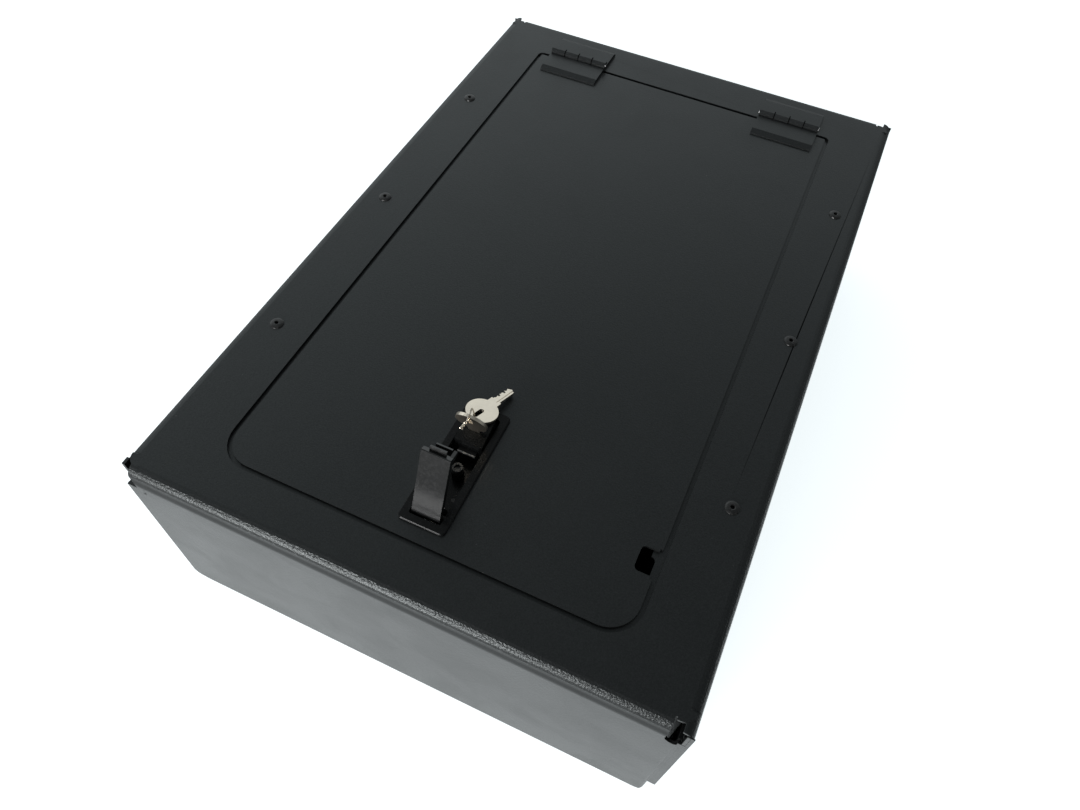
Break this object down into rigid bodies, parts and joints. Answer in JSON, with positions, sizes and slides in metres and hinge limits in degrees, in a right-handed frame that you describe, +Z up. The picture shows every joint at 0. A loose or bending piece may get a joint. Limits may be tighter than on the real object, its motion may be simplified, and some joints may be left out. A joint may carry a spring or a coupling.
{
  "type": "vehicle security locker",
  "caption": "Shallow folded-steel locker on its back with a flush hinged door, a raised lift lever in a lock dish, keys on a wire, and a cable notch.",
  "frame": {"origin": "middle of the footprint, on the surface that the locker's back lies on", "axes": "+X across the door towards its cable notch, +Y along the box from the handle end to the hinges, +Z up out of the door's face"},
  "size_m": [0.3626, 0.555, 0.2042],
  "materials": {
    "powder_coat": "fine-textured black powder coat on sheet steel",
    "handle_black": "smooth semi-gloss black over a zinc casting",
    "rivet_black": "smooth black",
    "zinc_steel": "bright zinc plate",
    "nickel": "nickel plate, slightly warm"
  },
  "bodies": {
    "cabinet": {"cabinet_shell": "powder_coat", "back_panel": "powder_coat", "side_bracket_left": "powder_coat", "side_bracket_right": "powder_coat", "door_stop_frame": "powder_coat", "strike_plate": "powder_coat", "rivet_left_1": "rivet_black", "rivet_left_2": "rivet_black", "rivet_left_3": "rivet_black", "rivet_right_1": "rivet_black", "rivet_right_2": "rivet_black", "rivet_right_3": "rivet_black", "hinge_fixed_leaf_left": "powder_coat", "hinge_fixed_leaf_right": "powder_coat", "hinge_pin_left": "zinc_steel", "hinge_pin_right": "zinc_steel", "frame_nut_1": "zinc_steel", "frame_nut_2": "zinc_steel", "frame_nut_3": "zinc_steel", "frame_nut_4": "zinc_steel"},
    "door": {"door_panel": "powder_coat", "hinge_door_leaf_left": "powder_coat", "hinge_door_leaf_right": "powder_coat", "door_nut_1": "zinc_steel", "door_nut_2": "zinc_steel", "door_nut_3": "zinc_steel", "door_nut_4": "zinc_steel", "handle_dish": "handle_black", "mounting_screw": "rivet_black", "mounting_bridge": "zinc_steel", "pivot_pin": "rivet_black", "pivot_spring": "zinc_steel", "bolt_guide": "zinc_steel", "guide_screw_1": "rivet_black", "guide_screw_2": "rivet_black", "lock_housing": "handle_black", "housing_screw": "zinc_steel", "lock_barrel": "handle_black"},
    "lever": {"lever_grip": "handle_black", "drive_pin": "zinc_steel"},
    "bolt": {"slide_bolt": "zinc_steel"},
    "plug": {"lock_plug": "handle_black", "plug_clip": "zinc_steel"},
    "tongue": {"lock_tongue": "zinc_steel"},
    "key": {"key_in_lock": "nickel"},
    "wire": {"key_wire": "nickel"},
    "spare": {"spare_key": "nickel"}
  },
  "joints": [
    {"name": "door_hinge", "type": "hinge", "parent": "cabinet", "child": "door", "pos_m": [0, 0.236, 0.1627], "axis": [-1, 0, 0], "range_deg": [0, 110]},
    {"name": "lever_lift", "type": "hinge", "parent": "door", "child": "lever", "pos_m": [0, -0.2231, 0.1585], "axis": [-1, 0, 0], "range_deg": [0, 66.4], "stiffness_Nm_per_rad": 0.02, "springref_deg": -57.3},
    {"name": "bolt_slide", "type": "slide", "parent": "door", "child": "bolt", "axis": [0, -1, 0], "range_m": [0, 0.01095]},
    {"name": "lock_turn", "type": "hinge", "parent": "door", "child": "plug", "pos_m": [0, -0.16471, 0.16542], "axis": [0, 0.2521, -0.9677], "range_deg": [0, 90]},
    {"name": "tongue_slide", "type": "slide", "parent": "door", "child": "tongue", "axis": [0, -1, 0], "range_m": [0, 0.00342]},
    {"name": "key_withdraw", "type": "slide", "parent": "plug", "child": "key", "axis": [0, -0.2521, 0.9677], "range_m": [0, 0.028]},
    {"name": "wire_swing", "type": "hinge", "parent": "key", "child": "wire", "pos_m": [0, -0.17056, 0.18787], "axis": [1, 0, 0], "range_deg": [0, 22.5]},
    {"name": "spare_swing", "type": "hinge", "parent": "wire", "child": "spare", "pos_m": [-0.00338, -0.1614, 0.17138], "axis": [0.9627, -0.2706, 0], "range_deg": [0, 60]}
  ],
  "couplings": [
    {"joint": "bolt_slide", "follows": "lever_lift", "m_per_rad": 0.00945},
    {"joint": "tongue_slide", "follows": "lock_turn", "m_per_rad": 0.002178},
    {"joint": "wire_swing", "follows": "lock_turn", "ratio": 0.25}
  ]
}
